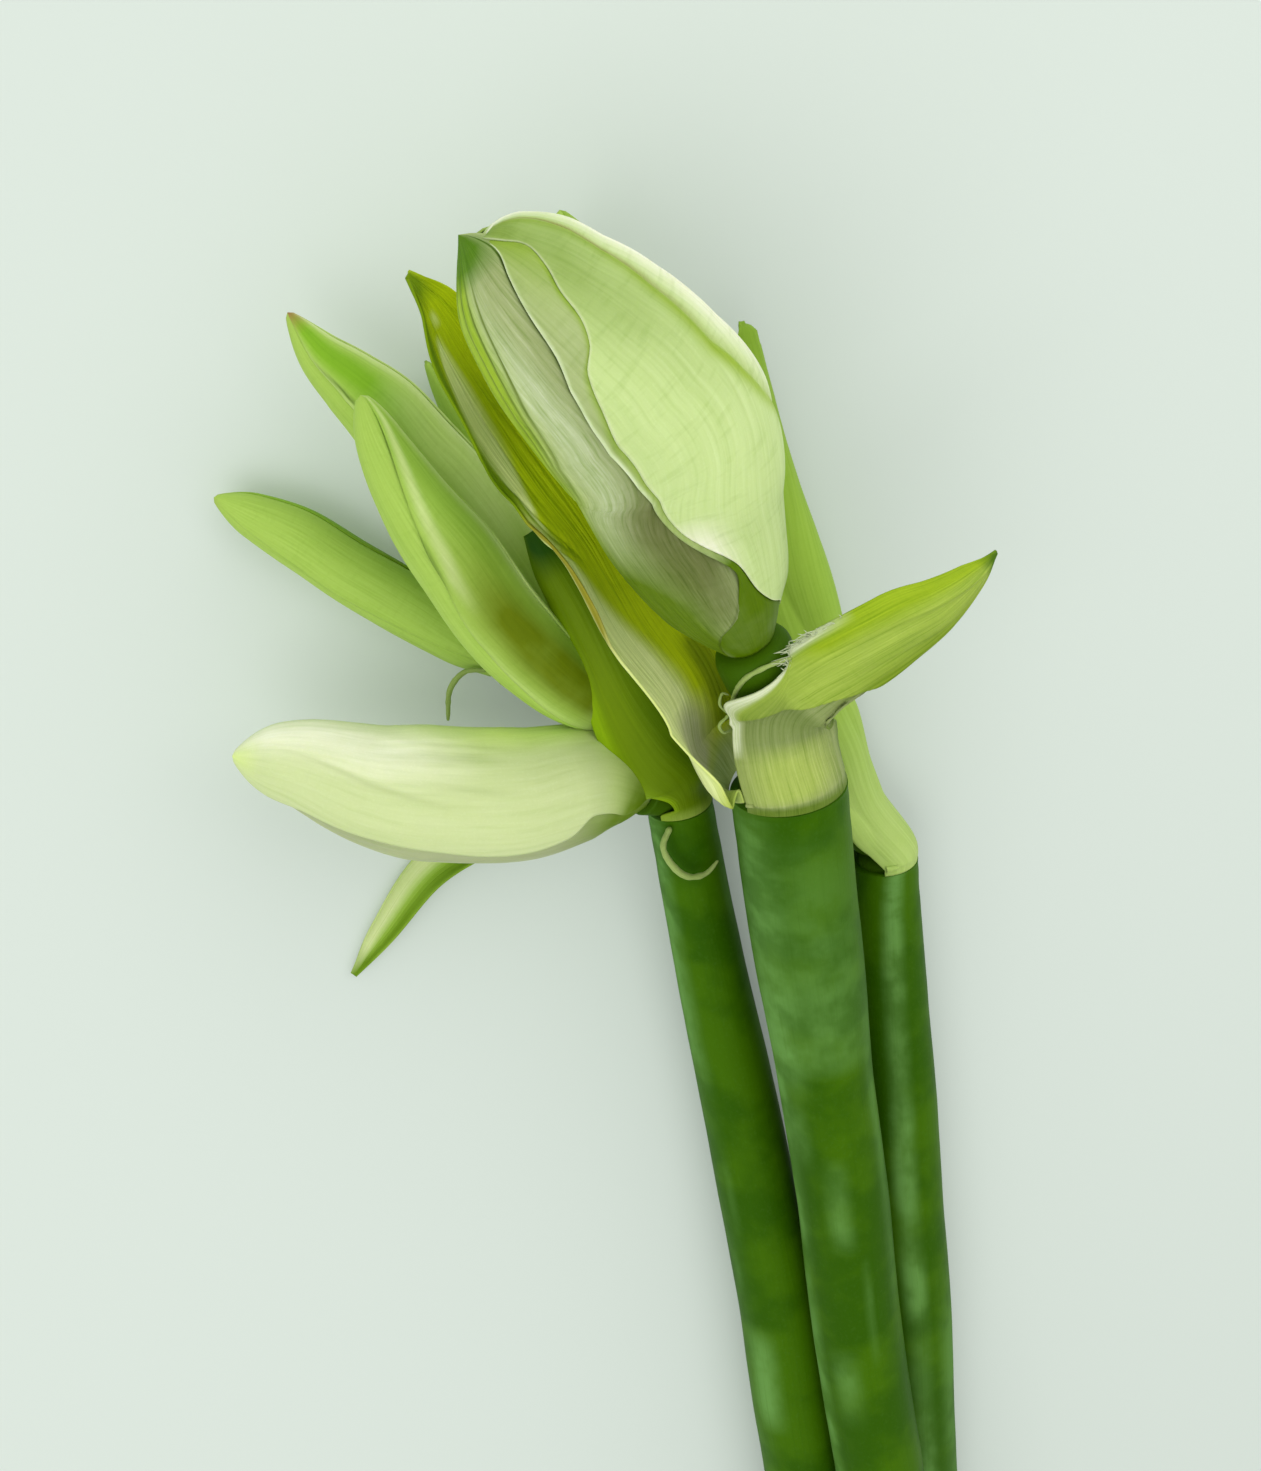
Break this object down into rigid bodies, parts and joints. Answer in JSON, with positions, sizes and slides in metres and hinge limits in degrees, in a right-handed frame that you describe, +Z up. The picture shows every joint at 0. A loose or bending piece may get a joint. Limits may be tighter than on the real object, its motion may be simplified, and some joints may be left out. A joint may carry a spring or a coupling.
{
  "type": "amaryllis flower stems in bud",
  "caption": "Bunch of cut amaryllis stems in bud, lying down: round green scapes topped by papery bracts round closed, pale green flower buds.",
  "frame": {"origin": "on the surface that the bunch lies on, at the upper part of the flat strip under the left scape, below the bunch's weight", "axes": "+Z up from the surface, +Y along the bunch from the cut ends towards the flower heads, +X across it to the right"},
  "size_m": [0.2315, 0.5129, 0.1022],
  "materials": {
    "scape": "smooth waxy green skin with a pale blue-green bloom in streaks",
    "pale_bud": "soft satin, ivory to pale green with fine long veins",
    "green_bud": "soft satin, yellow-green with fine long veins",
    "bract": "thin, dry and papery at the margins, green along the middle, veined",
    "thread": "thin dry thread"
  },
  "bodies": {
    "root": {"scape_middle": "scape", "scape_left": "scape", "scape_right": "scape", "bud_main": "pale_bud", "bud_back": "green_bud", "bud_low": "pale_bud", "bud_slim": "green_bud", "bud_upper": "green_bud", "bud_front": "green_bud", "bud_small": "green_bud", "bud_sheathed": "green_bud", "bract_middle_left": "bract", "bract_middle_right": "bract", "bract_left_front": "bract", "bract_left_back": "bract", "bract_right_front": "bract", "bract_right_back": "bract", "thread_loop": "thread", "thread_front": "thread", "thread_left": "thread"}
  },
  "joints": []
}
